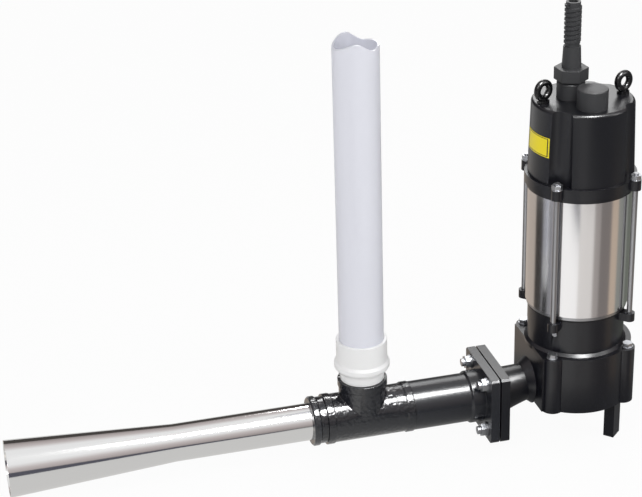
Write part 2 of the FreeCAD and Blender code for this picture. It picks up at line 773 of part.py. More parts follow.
def make_tie_rods():
    """Four long studs that clamp the cover, the shell and the housing together, with nuts on the cover."""
    keep("tie_rod_washers", washer_set("tie_washer", rim_top, tie_circle, tie_radius, washer_thickness,
                                       washer_margin))
    rods, nuts = [], []
    nut_z = rim_top + washer_thickness
    low = tie_lug_bottom + end_gap
    for degrees in QUARTERS:
        x, y = turned_about(tie_circle, degrees)
        rods.append(cylinder(f"rod_{degrees}", tie_radius, nut_z + tie_nut + tie_tail - low, (x, y, low)))
        nut = prism(f"rod_nut_{degrees}", tie_across, tie_nut, (x, y, nut_z), about_z(degrees))
        hole = cylinder(f"rod_nut_hole_{degrees}", tie_radius + fit_gap, tie_nut, (x, y, nut_z))
        nuts.append(cut(f"tie_nut_{degrees}", nut, [hole]))
    keep("tie_rods", group("tie_rod_set", rods))
    keep("tie_rod_nuts", group("tie_nut_set", nuts))


def ring(name, inner, outer, low, high, axis="V_Axis"):
    """A plain ring or tube, up the shaft or along the jet line."""
    if axis == "V_Axis":
        corners = [(inner, low), (outer, low), (outer, high), (inner, high)]
    else:
        corners = [(-low, inner), (-low, outer), (-high, outer), (-high, inner)]
    return keep(name, turned(name + "_body", corners, axis))


def make_motor():
    ring("housing_gasket", register_radius + body_gap, gasket_radius, housing_top, ring_bottom)
    ring("shell_seat_ring", register_radius + body_gap, seat_ring_radius, ring_bottom, shell_bottom)
    ring("motor_shell", shell_bore, shell_radius, shell_bottom, shell_top)
    top = stator_bottom + stator_length
    ring("stator_core", stator_bore, shell_bore - body_gap, stator_bottom, top)
    coils = []
    for name, low in (("low", stator_bottom - winding_length), ("high", top)):
        high = low + winding_length
        corners = [(winding_inner, low, winding_round), (winding_outer, low, winding_round),
                   (winding_outer, high, winding_round), (winding_inner, high, winding_round)]
        coils.append(turned(f"coil_{name}", corners))
    keep("stator_windings", group("windings", coils))
    ring("rotor_core", middle_radius + fit_gap, stator_bore - rotor_gap, stator_bottom, top)


def make_shaft():
    key_low = disc_bottom - key_length + impeller_disc
    body = turned("shaft_body", [
        (0, tip_bottom), (tip_radius, tip_bottom), (tip_radius, hub_bottom), (hub_seat_radius, hub_bottom),
        (hub_seat_radius, hub_top), (seal_seat_radius, hub_top), (seal_seat_radius, oil_roof),
        (lower_journal, oil_roof), (lower_journal, housing_top), (middle_radius, housing_top),
        (middle_radius, stator_bottom + stator_length + shaft_step),
        (neck_of_shaft, stator_bottom + stator_length + shaft_step), (neck_of_shaft, upper_bearing_z),
        (upper_journal, upper_bearing_z), (upper_journal, shaft_top), (0, shaft_top)])
    slot = box("key_slot", key_width, key_width + fit_gap * 2, key_length + fit_gap * 2,
               (hub_seat_radius - key_width / 2, -key_width / 2 - fit_gap, key_low - fit_gap))
    keep("shaft", cut("shaft_cut", body, [slot]))
    key = box("key", key_width, key_width, key_length,
              (hub_seat_radius - key_width / 2 + fit_gap, -key_width / 2, key_low))
    keep("impeller_key", key)


def make_bearing(name, journal, outer, width, low, balls):
    inner_race = journal + race_thickness
    outer_race = outer - race_thickness
    ring(f"{name}_bearing_inner_ring", journal + fit_gap, inner_race, low, low + width)
    ring(f"{name}_bearing_outer_ring", outer_race, outer, low, low + width)
    middle = (inner_race + outer_race) / 2
    centre = low + width / 2
    cage = turned(f"{name}_cage_ring", [
        (middle - cage_thickness / 2, centre - cage_width / 2), (middle + cage_thickness / 2, centre - cage_width / 2),
        (middle + cage_thickness / 2, centre + cage_width / 2), (middle - cage_thickness / 2, centre + cage_width / 2)])
    spheres, pockets = [], []
    for index in range(balls):
        degrees = (index + 0.5) * FULL_TURN / balls
        ball = doc.addObject("Part::Sphere", f"{name}_ball_{index}")
        bind(ball, "Radius", ball_radius)
        spheres.append(place(ball, (*turned_about(middle, degrees), centre)))
        outwards = about_z(degrees).multiply(FreeCAD.Rotation(FreeCAD.Vector(0, 1, 0), 90))
        pockets.append(cylinder(f"{name}_pocket_{index}", ball_radius + cage_gap, cage_thickness * 2,
                                (*turned_about(middle - cage_thickness, degrees), centre), outwards))
    pierced = cut(f"{name}_cage", cage, pockets)
    keep(f"{name}_bearing_balls", group(f"{name}_balls", [pierced] + spheres))


def make_seal():
    """Fixed seat in the housing wall, and the face and spring that turn with the shaft."""
    seat_top = oil_floor
    ring("seal_seat", seat_bore, seat_outer, oil_floor - seat_height, seat_top)
    inner = seal_seat_radius + fit_gap
    ring("seal_face", inner, face_outer, seat_top, seat_top + face_height)
    low = seat_top + face_height
    outside = []
    for turn in range(spring_turns):
        z = low + spring_pitch * turn
        outside += [(spring_outer, z), (spring_outer, z + spring_pitch / 2),
                    (spring_outer - spring_wall / 2, z + spring_pitch / 2),
                    (spring_outer - spring_wall / 2, z + spring_pitch)]
    top = low + spring_pitch * spring_turns
    keep("seal_spring", turned("spring_body", [(inner, low)] + outside + [(inner, top)]))


def make_impeller():
    disc_top = disc_bottom + impeller_disc
    core = turned("impeller_core", [
        (hub_seat_radius + fit_gap, hub_bottom), (impeller_hub - hub_taper, hub_bottom),
        (impeller_hub, vane_bottom + hub_taper_height), (impeller_hub, disc_bottom),
        (impeller_radius, disc_bottom + disc_draft), (impeller_radius, disc_top), (impeller_hub, disc_top),
        (impeller_hub - hub_taper, hub_top), (hub_seat_radius + fit_gap, hub_top)])
    vanes = []
    for index in range(vane_count):
        degrees = index * FULL_TURN / vane_count
        x, y = turned_about(vane_offset, degrees)
        height = disc_bottom + vane_overlap - vane_bottom
        wedge = cylinder(f"vane_wedge_{index}", vane_radius, height, (x, y, vane_bottom),
                         about_z(degrees + vane_start))
        wedge.setExpression("Angle", vane_sweep.text)
        hollow = cylinder(f"vane_hollow_{index}", vane_radius - vane_thickness, height, (x, y, vane_bottom))
        vanes.append(cut(f"vane_{index}", wedge, [hollow]))
    blank = fuse("impeller_blank", [core] + vanes)
    bore = cylinder("impeller_bore", hub_seat_radius + fit_gap, hub_top, (0, 0, 0))
    slot = box("hub_slot", key_width, key_width + fit_gap * 2, hub_top - hub_bottom,
               (hub_seat_radius - key_width / 2 + fit_gap * 2, -key_width / 2 - fit_gap, hub_bottom))
    keep("impeller", cut("impeller_cut", blank, [bore, slot]))
    nut_low = tip_bottom + impeller_nut_lift
    nut = prism("impeller_nut_hex", impeller_nut_across, hub_bottom - nut_low, (0, 0, nut_low))
    hole = cylinder("impeller_nut_bore", tip_radius + fit_gap, hub_bottom - nut_low, (0, 0, nut_low))
    keep("impeller_nut", cut("impeller_nut_cut", nut, [hole]))


def make_cover():
    """Top cover with its rim, the bearing wall and cable space inside, and the channels over the lugs."""
    spigot = shell_bore - body_gap
    bore = upper_bearing_outer + fit_gap
    bearing_top = upper_bearing_z + upper_bearing_width
    shape = turned("cover_body", [
        (cover_spigot_bore, shell_top - cover_spigot), (spigot, shell_top - cover_spigot),
        (spigot, shell_top), (shell_radius + body_gap, shell_top),
        (shell_radius + body_gap, shell_top - lip_height), (lip_radius, shell_top - lip_height),
        (lip_radius, shell_top), (rim_radius, shell_top), (rim_radius, rim_top), (cover_radius, rim_top),
        (cover_top_radius, cover_top - cover_round), (cover_top_radius, cover_top, cover_round),
        (0, cover_top), (0, cover_top - cover_roof), (cavity_radius, cover_top - cover_roof),
        (cavity_radius, bearing_wall_top), (neck_of_shaft, bearing_wall_top), (neck_of_shaft, bearing_top),
        (bore, bearing_top), (bore, bearing_wall_bottom), (cover_spigot_bore, bearing_wall_bottom)])
    lugs = []
    for degrees in QUARTERS:
        at = (*turned_about(tie_circle, degrees), shell_top)
        lugs.append(cylinder(f"cover_lug_{degrees}", tie_lug_radius, rim_height, at))
        lugs.append(radial_box(f"cover_web_{degrees}", rim_radius - web_overlap, tie_circle, tie_lug_radius * 2,
                               rim_height, shell_top, degrees))
    bosses = [cylinder(f"eye_boss_{side}", eye_boss_radius, eye_boss_height,
                       (eye_circle * side, 0, cover_top - eye_boss_height)) for side in (-1, 1)]
    blank = fuse("cover_blank", [shape] + lugs + bosses)
    tools = round_pump("channel", channel_circle, lambda name, x, y: cylinder(
        name, channel_radius, cover_top - rim_top, (x, y, rim_top)))
    tools += round_pump("upper_tie_hole", tie_circle, lambda name, x, y: cylinder(
        name, tie_radius + bolt_gap, rim_height, (x, y, shell_top)))
    tools += round_pump("wire_hole", wire_hole_circle, lambda name, x, y: cylinder(
        name, wire_hole_radius, bearing_wall_top - bearing_wall_bottom, (x, y, bearing_wall_bottom)))
    tools += [cylinder(f"eye_hole_{side}", eye_shank + fit_gap, eye_depth + end_gap,
                       (eye_circle * side, 0, cover_top - eye_depth - end_gap)) for side in (-1, 1)]
    for name, x, y in (("gland", gland_x, gland_y), ("cap", cap_x, cap_y)):
        tools.append(cylinder(f"{name}_hole", gland_thread + fit_gap, thread_depth * 2,
                              (x, y, cover_top - thread_depth * 2)))
    keep("top_cover", cut("cover_cut", blank, tools))


def make_eyebolts():
    eyes = []
    turn = about_z(eye_turn).multiply(FreeCAD.Rotation(FreeCAD.Vector(1, 0, 0), 90))
    for side in (-1, 1):
        x = eye_circle * side
        hoop = doc.addObject("Part::Torus", f"eye_ring_{side}")
        bind(hoop, "Radius1", eye_ring_radius)
        bind(hoop, "Radius2", eye_section)
        place(hoop, (x, 0, cover_top + eye_rise), turn)
        collar = cylinder(f"eye_collar_{side}", eye_collar_radius, eye_collar, (x, 0, cover_top))
        stem = cylinder(f"eye_stem_{side}", eye_shank, eye_depth + eye_rise - eye_ring_radius,
                        (x, 0, cover_top - eye_depth))
        eyes.append(fuse(f"eye_{side}", [hoop, collar, stem]))
    keep("lifting_eyes", group("eyes", eyes))


def make_gland():
    at = (gland_x, gland_y, 0)
    body_top = cover_top + gland_height
    stub_top = body_top + gland_stub_height
    seat = cover_top + grommet_seat
    keep("gland_body", turned("gland_shape", [
        (cable_radius + cable_gap, cover_top - thread_depth), (gland_thread, cover_top - thread_depth),
        (gland_thread, cover_top), (gland_radius, cover_top), (gland_radius, body_top - gland_bevel),
        (gland_radius - gland_bevel, body_top), (gland_stub, body_top), (gland_stub, stub_top),
        (grommet_radius + body_gap, stub_top), (grommet_radius + body_gap, seat),
        (cable_radius + cable_gap, seat)], at=at))
    keep("gland_grommet", turned("grommet_shape", [
        (cable_radius, seat), (grommet_radius, seat), (grommet_radius, stub_top), (cable_radius, stub_top)],
        at=at))
    nut = prism("gland_hex", gland_nut_across, gland_nut_height, (gland_x, gland_y, gland_nut_z),
                about_z(gland_nut_turn))
    sunk = cylinder("gland_nut_thread", gland_stub + fit_gap, stub_top - gland_nut_z + body_gap,
                    (gland_x, gland_y, gland_nut_z))
    hole = cylinder("gland_nut_hole", sleeve_bore + end_gap, gland_nut_height, (gland_x, gland_y, gland_nut_z))
    keep("gland_nut", cut("gland_nut_cut", nut, [sunk, hole]))
    outline = [(sleeve_bore, sleeve_z), (sleeve_radius, sleeve_z), (sleeve_neck, sleeve_z + sleeve_height)]
    for turn in range(rib_count):
        z = sleeve_z + sleeve_height + rib_pitch * turn
        outline += [(rib_root, z), (rib_root, z + rib_pitch * rib_groove), (rib_radius, z + rib_pitch * rib_slope),
                    (rib_radius, z + rib_pitch)]
    top = sleeve_z + sleeve_height + rib_pitch * rib_count + sleeve_end
    outline += [(rib_radius, top), (sleeve_bore, top)]
    keep("strain_relief_sleeve", turned("sleeve_shape", outline, at=at))
    keep("blind_cap", turned("cap_shape", [
        (0, cover_top - thread_depth), (gland_thread, cover_top - thread_depth), (gland_thread, cover_top),
        (cap_radius, cover_top), (cap_radius, cover_top + cap_height, cap_round),
        (0, cover_top + cap_height)], at=(cap_x, cap_y, 0)))


def make_flange_joint():
    gasket = turned("gasket_disc", [(-flange_face, pipe_bore), (-flange_face, neck_radius),
                                    (-companion_face, neck_radius), (-companion_face, pipe_bore)], "H_Axis")
    keep("flange_gasket", gasket)
    start = flange_face - stud_depth + end_gap
    end = companion_back + flange_washer + flange_nut_height + flange_bolt_end
    nut_start = companion_back + flange_washer
    studs = at_flange("flange_stud", lambda name, y, z: cylinder(
        name, flange_bolt_radius, end - start, (-start, y, z), TO_X))
    nuts = at_flange("flange_nut", lambda name, y, z: cut(name, prism(
        name + "_hex", flange_bolt_across, flange_nut_height, (-nut_start, y, z), TO_X), [cylinder(
            name + "_hole", flange_bolt_radius + fit_gap, flange_nut_height, (-nut_start, y, z), TO_X)]))
    rings = at_flange("flange_washer", lambda name, y, z: cut(name, cylinder(
        name + "_out", flange_bolt_radius + washer_margin + end_gap, flange_washer, (-companion_back, y, z),
        TO_X), [cylinder(name + "_in", flange_bolt_radius + bolt_gap / 2, flange_washer,
                         (-companion_back, y, z), TO_X)]))
    keep("flange_bolts", group("flange_bolt_set", studs))
    keep("flange_nuts", group("flange_nut_set", nuts))
    keep("flange_washers", group("flange_washer_set", rings))


def make_jet_pipe():
    plate = flange_plate("companion", companion_back, flange_thickness)
    tube = turned("jet_tube", [
        (-companion_face, pipe_bore), (-companion_face, neck_radius), (-companion_back, neck_radius),
        (-companion_back, hub_radius), (-companion_back - hub_length, hub_radius),
        (-companion_back - hub_length - hub_chamfer, pipe_radius), (-pipe_end, pipe_radius), (-pipe_end, joint_radius),
        (-nozzle_start, joint_radius), (-nozzle_start, pipe_bore)], "H_Axis")
    blank = fuse("jet_pipe_blank", [plate, tube])
    bore = cylinder("jet_bore", pipe_bore, nozzle_start - companion_face, (-companion_face, 0, 0), TO_X)
    holes = at_flange("companion_hole", lambda name, y, z: cylinder(
        name, flange_bolt_radius + bolt_gap, flange_thickness, (-companion_face, y, z), TO_X))
    keep("jet_pipe", cut("jet_pipe_cut", blank, [bore] + holes))


def make_nozzle():
    wall = nozzle_mouth - nozzle_bore
    lip_end = nozzle_start + nozzle_lip
    taper_end = lip_end + nozzle_taper
    mouth = taper_end + nozzle_land
    keep("nozzle", turned("nozzle_shape", [
        (-nozzle_start, pipe_bore), (-nozzle_start, joint_radius), (-lip_end, joint_radius),
        (-lip_end, nozzle_entry), (-taper_end, nozzle_mouth), (-mouth, nozzle_mouth),
        (-mouth, nozzle_bore), (-taper_end, nozzle_bore), (-lip_end, nozzle_entry - wall)], "H_Axis"))


def make_tee():
    """Cast tee: raised rims at its three mouths, threads at both ends and an open branch on top."""
    run = turned("tee_run", [
        (-pipe_end, 0), (-pipe_end, tee_rim), (-pipe_end - tee_rim_length, tee_rim),
        (-pipe_end - tee_rim_length, tee_radius), (-tee_end + tee_rim_length, tee_radius),
        (-tee_end + tee_rim_length, tee_rim), (-tee_end, tee_rim), (-tee_end, 0)], "H_Axis")
    arm = turned("tee_arm", [
        (0, 0), (branch_radius, 0), (branch_radius, branch_top - branch_rim_height),
        (branch_rim, branch_top - branch_rim_height), (branch_rim, branch_top), (0, branch_top)],
        at=(-branch_line, 0, 0))
    blank = fuse("tee_blank", [run, arm])
    shoulder = nozzle_start + nozzle_lip
    far = tee_end - socket_depth
    tools = [
        cylinder("tee_inlet", joint_radius + fit_gap, shoulder - pipe_end, (-pipe_end, 0, 0), TO_X),
        cylinder("tee_through", tee_bore, far - shoulder, (-shoulder, 0, 0), TO_X),
        cylinder("tee_outlet", joint_radius + fit_gap, socket_depth, (-far, 0, 0), TO_X),
        cylinder("branch_through", branch_bore, branch_top, (-branch_line, 0, 0)),
        cylinder("branch_socket", branch_thread + fit_gap, branch_thread_depth,
                 (-branch_line, 0, branch_top - branch_thread_depth))]
    keep("tee", cut("tee_cut", blank, tools))


def make_diffuser():
    bore = tube_radius + fit_gap
    far = tee_end - socket_depth
    keep("diffuser_socket", turned("socket_shape", [
        (-far, bore), (-far, joint_radius), (-tee_end, joint_radius), (-tee_end, socket_radius),
        (-collar_start, socket_radius), (-collar_start, seal_groove), (-collar_start + seal_length, seal_groove),
        (-collar_start + seal_length, bore)], "H_Axis"))
    ring("diffuser_seal", tube_radius, seal_groove - body_gap, collar_start - seal_length, collar_start, "H_Axis")
    end = collar_start + collar_length
    keep("lock_collar", turned("collar_shape", [
        (-collar_start, bore), (-collar_start, collar_radius - collar_bevel),
        (-collar_start - collar_bevel, collar_radius), (-end + collar_bevel, collar_radius),
        (-end, collar_radius - collar_bevel), (-end, bore)], "H_Axis"))
    keep("diffuser", turned("diffuser_shape", [
        (-tube_start, tube_radius - tube_wall), (-tube_start, tube_radius), (-cone_start, tube_radius),
        (-outlet_line, outlet_radius), (-outlet_line, outlet_radius - tube_wall),
        (-cone_start, tube_radius - tube_wall)], "H_Axis"))


def make_air_line():
    at = (-branch_line, 0, 0)
    low = branch_top - branch_thread_depth
    inner = air_pipe_radius - air_pipe_wall
    keep("branch_adaptor", turned("adaptor_shape", [
        (adaptor_bore, low), (branch_thread, low), (branch_thread, branch_top), (adaptor_ring, branch_top),
        (adaptor_ring, branch_top + adaptor_ring_height), (adaptor_radius, branch_top + adaptor_ring_height),
        (adaptor_bulge, bulge_low + bulge_rise), (adaptor_bulge, bulge_high - bulge_fall),
        (adaptor_radius, bulge_high), (adaptor_radius, adaptor_top), (air_pipe_spigot + fit_gap, adaptor_top),
        (air_pipe_spigot + fit_gap, air_pipe_bottom), (adaptor_bore, air_pipe_bottom)], at=at))
    shoulder = adaptor_top + spigot_shoulder
    tube = turned("air_tube", [
        (inner, air_pipe_bottom), (air_pipe_spigot, air_pipe_bottom), (air_pipe_spigot, shoulder),
        (air_pipe_radius, shoulder), (air_pipe_radius, air_pipe_top), (inner, air_pipe_top)], at=at)
    keep("air_pipe", cut("air_pipe_cut", tube, [make_wave()]))


def make_wave():
    """What the pipe loses at its wavy top: everything above a curve that crosses it from side to side."""
    half = number(air_pipe_radius) + 2
    middle, top, drop = -number(branch_line), number(air_pipe_top), number(wave_depth)
    points = [FreeCAD.Vector(middle + half * across, -half, top - drop * down) for across, down in WAVE_LEVELS]
    curve = Part.BSplineCurve()
    curve.interpolate(points)
    rise = FreeCAD.Vector(0, 0, drop * 2)
    corners = [points[-1], points[-1] + rise, points[0] + rise, points[0]]
    edges = [curve.toShape()] + [Part.makeLine(a, b) for a, b in zip(corners, corners[1:])]
    face = Part.Face(Part.Wire(edges))
    item = doc.addObject("Part::Feature", "pipe_wave")
    item.Shape = face.extrude(FreeCAD.Vector(0, half * 2, 0))
    return item


def check_and_write():
    doc.recompute()
    os.makedirs("parts", exist_ok=True)
    for item in doc.Objects:
        if "Invalid" in item.State or "Error" in item.State:
            raise RuntimeError(f"{item.Name} failed: {item.State}")
    for name, item in nodes.items():
        shape = item.Shape
        if shape.isNull() or not shape.isValid() or not shape.Solids:
            raise RuntimeError(f"{name} has no valid shape")
        shape.exportStep(f"parts/{name}.step")


make_casing()
make_suction_plate()
make_housing()
make_casing_bolts()
make_tie_rods()
make_motor()
make_shaft()
make_bearing("lower", lower_journal, lower_bearing_outer, lower_bearing_width, lower_bearing_z, 9)
make_bearing("upper", upper_journal, upper_bearing_outer, upper_bearing_width, upper_bearing_z, 8)
make_seal()
make_impeller()
make_cover()
make_eyebolts()
make_gland()
make_flange_joint()
make_jet_pipe()
make_nozzle()
make_tee()
make_diffuser()
make_air_line()
check_and_write()
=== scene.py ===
import bmesh
import bpy
import json
import math
from mathutils import Matrix, Vector


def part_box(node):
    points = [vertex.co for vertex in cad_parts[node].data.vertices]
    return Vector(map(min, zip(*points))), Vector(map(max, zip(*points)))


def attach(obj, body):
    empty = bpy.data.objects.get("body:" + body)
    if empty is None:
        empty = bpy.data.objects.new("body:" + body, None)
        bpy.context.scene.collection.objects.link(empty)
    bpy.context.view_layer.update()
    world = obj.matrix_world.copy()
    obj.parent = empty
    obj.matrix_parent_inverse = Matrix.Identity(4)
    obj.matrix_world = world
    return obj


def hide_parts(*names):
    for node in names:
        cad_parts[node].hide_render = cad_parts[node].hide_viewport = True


# A jet aerator on a white studio floor: black enamelled pump, polished stainless shell and diffuser,
# slate enamelled tee and jet pipe, and a pale plastic air pipe standing in a white moulded adaptor.

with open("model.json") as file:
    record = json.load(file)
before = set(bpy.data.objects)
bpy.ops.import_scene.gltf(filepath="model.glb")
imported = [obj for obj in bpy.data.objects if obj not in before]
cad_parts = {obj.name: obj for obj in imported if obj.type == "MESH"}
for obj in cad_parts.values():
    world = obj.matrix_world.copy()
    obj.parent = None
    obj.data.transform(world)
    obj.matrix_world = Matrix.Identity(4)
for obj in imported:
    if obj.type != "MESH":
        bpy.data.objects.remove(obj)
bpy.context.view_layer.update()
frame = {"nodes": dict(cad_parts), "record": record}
nodes = frame["nodes"]
MM = 0.001
BODY_OF = {node: body for body, members in frame["record"]["behaviour"]["bodies"].items()
           for node in members}
SLOT_OF = {row["node"]: row["material_slot"] for row in frame["record"]["subparts"]}

# Places read from the frame
SHELL_LOW, SHELL_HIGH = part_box("motor_shell")
PUMP_X = (SHELL_LOW.x + SHELL_HIGH.x) / 2
COLLAR_LOW, COLLAR_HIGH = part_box("lock_collar")
JET_Z = (COLLAR_LOW.z + COLLAR_HIGH.z) / 2
SLEEVE_LOW, SLEEVE_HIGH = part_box("strain_relief_sleeve")

# Materials
GRAIN_ROUGHNESS = 0.6
COAT_ROUGHNESS = 0.12


def colour(hex_text):
    """An sRGB hex colour as linear red, green, blue and alpha."""
    parts = [int(hex_text[i:i + 2], 16) / 255 for i in (0, 2, 4)]
    return [p / 12.92 if p <= 0.04045 else ((p + 0.055) / 1.055) ** 2.4 for p in parts] + [1]


def add(tree, kind, settings=None, numbered=None, **named):
    """Adds a node. Each input takes a value, or is linked to a socket or to a node's first output."""
    node = tree.nodes.new(kind)
    for key, value in (settings or {}).items():
        setattr(node, key, value)
    inputs = {**(numbered or {}), **{key.replace("_", " "): value for key, value in named.items()}}
    for key, value in inputs.items():
        if isinstance(value, bpy.types.Node):
            value = value.outputs[0]
        if isinstance(value, bpy.types.NodeSocket):
            tree.links.new(value, node.inputs[key])
        else:
            node.inputs[key].default_value = value
    return node


def material(name):
    """A material with an empty tree."""
    made = bpy.data.materials.new(name)
    made.use_nodes = True
    made.node_tree.nodes.clear()
    return made, made.node_tree


def grain(tree, size_mm, detail, height_mm):
    """A fine uneven relief on Object coordinates, from its real grain size and height."""
    place = add(tree, "ShaderNodeTexCoord")
    noise = add(tree, "ShaderNodeTexNoise", Vector=place.outputs["Object"], Scale=1 / (size_mm * MM),
                Detail=detail, Roughness=GRAIN_ROUGHNESS)
    return add(tree, "ShaderNodeBump", Height=noise.outputs["Fac"], Strength=1.0, Distance=height_mm * MM)


def enamel(name, hex_text, roughness, size_mm, height_mm, coat, detail=4):
    """Sprayed gloss enamel over a sand casting, so the light breaks up a little on it."""
    made, tree = material(name)
    shader = add(tree, "ShaderNodeBsdfPrincipled", Base_Color=colour(hex_text), Roughness=roughness,
                 Coat_Weight=coat, Coat_Roughness=COAT_ROUGHNESS,
                 Normal=grain(tree, size_mm, detail, height_mm))
    add(tree, "ShaderNodeOutputMaterial", Surface=shader)
    return made


def plain(name, hex_text, roughness, metallic=0.0):
    """A smooth finish with one colour all over."""
    made, tree = material(name)
    shader = add(tree, "ShaderNodeBsdfPrincipled", Base_Color=colour(hex_text), Roughness=roughness,
                 Metallic=metallic)
    add(tree, "ShaderNodeOutputMaterial", Surface=shader)
    return made


# Gloss enamel on grey iron: nearly black, with soft wide highlights and a faint sand grain.
black_enamel = enamel("black_enamel", "12131a", 0.3, 2.2, 0.10, coat=0.1)
# The same enamel on forged steel, which has no sand grain.
eye_enamel = enamel("eye_enamel", "0c0c0f", 0.25, 4, 0.02, coat=0.15)
# Slate enamel on a rough tee casting, whose grain sparkles along the highlight. The grain is drawn
# coarser than a real one, so that it shows.
slate_enamel = enamel("slate_enamel", "1b1d23", 0.18, 5.0, 1.1, coat=0.4, detail=0.5)
# The jet pipe is drawn tube under the same slate enamel, so it is smooth.
slate_tube = enamel("slate_tube", "202228", 0.26, 6, 0.1, coat=0.2)
# Slate enamel on the cast collar, a shade lighter and finer in its grain than on the tee.
collar_enamel = enamel("collar_enamel", "2a2c31", 0.22, 4.0, 0.8, coat=0.4, detail=0.5)
# Buffed stainless sheet, rolled and welded: mirror-like with a slight haze.
polished_stainless = plain("polished_stainless", "d6d6d8", 0.17, metallic=1)
# Buffed stainless tube: a cleaner mirror than the shell.
diffuser_stainless = plain("diffuser_stainless", "e2e2e2", 0.1, metallic=1)
# Drawn stainless bar, dull from handling.
stainless = plain("stainless", "a6a7aa", 0.3, metallic=1)
# Zinc plate: bluish and a little cloudy.
zinc_steel = plain("zinc_steel", "b4b6ba", 0.32, metallic=1)
# Ground bearing steel: bright, with a fine grinding haze.
bearing_steel = plain("bearing_steel", "9b9ca0", 0.15, metallic=1)
# Stacked electrical steel sheet under varnish: dark grey and half dull.
lamination_steel = plain("lamination_steel", "4c4d51", 0.45)
# Varnished copper wire: warm brown, with a soft shine.
copper_winding = plain("copper_winding", "9a5c33", 0.4, metallic=0.6)
# Lapped ceramic of a seal's faces: dark grey and glossy.
seal_ceramic = plain("seal_ceramic", "3a3a3e", 0.25)
# Moulded nitrile rubber: black and matt.
seal_rubber = plain("seal_rubber", "101012", 0.7)
# Moulded nylon from a spark-eroded mould: charcoal and matt.
gland_plastic = plain("gland_plastic", "2e2f32", 0.55)
# Moulded white plastic with a satin face.
adaptor_plastic = plain("adaptor_plastic", "fafafa", 0.45)
# Extruded pipe: pale with a faint lavender cast and a low sheen.
air_pipe_plastic = plain("air_pipe_plastic", "ebecf5", 0.4)

FINISHES = {
    "black_enamel": black_enamel, "eye_enamel": eye_enamel, "slate_enamel": slate_enamel,
    "collar_enamel": collar_enamel, "polished_stainless": polished_stainless,
    "diffuser_stainless": diffuser_stainless, "stainless": stainless, "zinc_steel": zinc_steel,
    "bearing_steel": bearing_steel, "lamination_steel": lamination_steel,
    "copper_winding": copper_winding, "seal_ceramic": seal_ceramic, "seal_rubber": seal_rubber,
    "gland_plastic": gland_plastic, "adaptor_plastic": adaptor_plastic,
    "air_pipe_plastic": air_pipe_plastic,
}
for node_name, cad_node in nodes.items():
    cad_node.data.materials.clear()
    cad_node.data.materials.append(FINISHES[SLOT_OF[node_name]])

# Pieces
MERGE_DISTANCE = 0.01 * MM
EDGE_SEGMENTS = 2
EDGE_ANGLE = 32
SMOOTH_ANGLE = 30


def make_piece(name, mesh, finish, body, slot_name, *stands_for):
    """Turns a finished bmesh into a named piece that rides on its body."""
    data = bpy.data.meshes.new(name)
    bmesh.ops.recalc_face_normals(mesh, faces=mesh.faces)
    mesh.to_mesh(data)
    mesh.free()
    data.materials.append(finish)
    piece = bpy.data.objects.new(name, data)
    bpy.context.scene.collection.objects.link(piece)
    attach(piece, body)
    if stands_for:
        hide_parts(*stands_for)
    return piece


def smooth_shading(piece, angle_degrees=SMOOTH_ANGLE):
    """Shades the curves smoothly and keeps the edges sharper than the angle."""
    limit = math.radians(angle_degrees)
    mesh = bmesh.new()
    mesh.from_mesh(piece.data)
    for face in mesh.faces:
        face.smooth = True
    for edge in mesh.edges:
        edge.smooth = len(edge.link_faces) == 2 and edge.calc_face_angle(0) < limit
    mesh.to_mesh(piece.data)
    mesh.free()


def dressed_copy(node_name, edge_mm, finish):
    """A merged copy of a solid, with its edges rounded as casting or machining leaves them."""
    mesh = bmesh.new()
    mesh.from_mesh(nodes[node_name].data)
    bmesh.ops.remove_doubles(mesh, verts=mesh.verts, dist=MERGE_DISTANCE)
    piece = make_piece(node_name + "_skin", mesh, finish, BODY_OF[node_name], SLOT_OF[node_name],
                       node_name)
    smooth_shading(piece, EDGE_ANGLE)
    if edge_mm:
        rounding = piece.modifiers.new("edge_rounding", "BEVEL")
        rounding.width = edge_mm * MM
        rounding.segments = EDGE_SEGMENTS
        rounding.limit_method = "ANGLE"
        rounding.angle_limit = math.radians(EDGE_ANGLE)
        rounding.harden_normals = True


# Edge rounding in millimetres: castings are soft-edged, turned and stamped pieces are crisp
ROUNDED = {
    "volute_casing": 1.5, "seal_housing": 1.2, "top_cover": 1.5, "tee": 1.0, "jet_pipe": 0.8,
    "lifting_eyes": 0, "tie_rods": 0.4, "tie_rod_nuts": 0.4, "casing_bolts": 0.5,
    "flange_bolts": 0.5, "flange_nuts": 0.5, "flange_washers": 0.2, "tie_rod_washers": 0.2,
    "casing_bolt_washers": 0.2, "gland_body": 0.5, "gland_nut": 0.8, "blind_cap": 0,
    "motor_shell": 0, "shell_seat_ring": 0.4, "diffuser": 0.3, "diffuser_socket": 0.5,
    "lock_collar": 0.3, "branch_adaptor": 1.0, "air_pipe": 0.2, "oil_plug": 0.3,
    "suction_plate": 0.8, "suction_plate_screws": 0.2, "housing_gasket": 0,
    "flange_gasket": 0, "impeller": 0.5, "impeller_nut": 0.4,
}
# The jet pipe shares the tee's slot, and differs from it in being smooth
OWN_FINISH = {"jet_pipe": slate_tube}
for node_name, edge in ROUNDED.items():
    dressed_copy(node_name, edge, OWN_FINISH.get(node_name, FINISHES[SLOT_OF[node_name]]))

# The spiral sleeve, in millimetres: a plain tube with one rib wound round it
SLEEVE_BORE = 7
SLEEVE_SKIRT = ((13.8, 0), (12.3, 31))
SLEEVE_ROOT = 10.3
RIB_CREST = 12
RIB_SINK = 0.6
RIB_CLEAR_OF_SKIRT = 1
RIB_PITCH = 6.5
RIB_TURNS = 8.6
RIB_WIDTH = (5.2, 3.6)
STEPS_PER_TURN = 40
ROUND_STEPS = 64


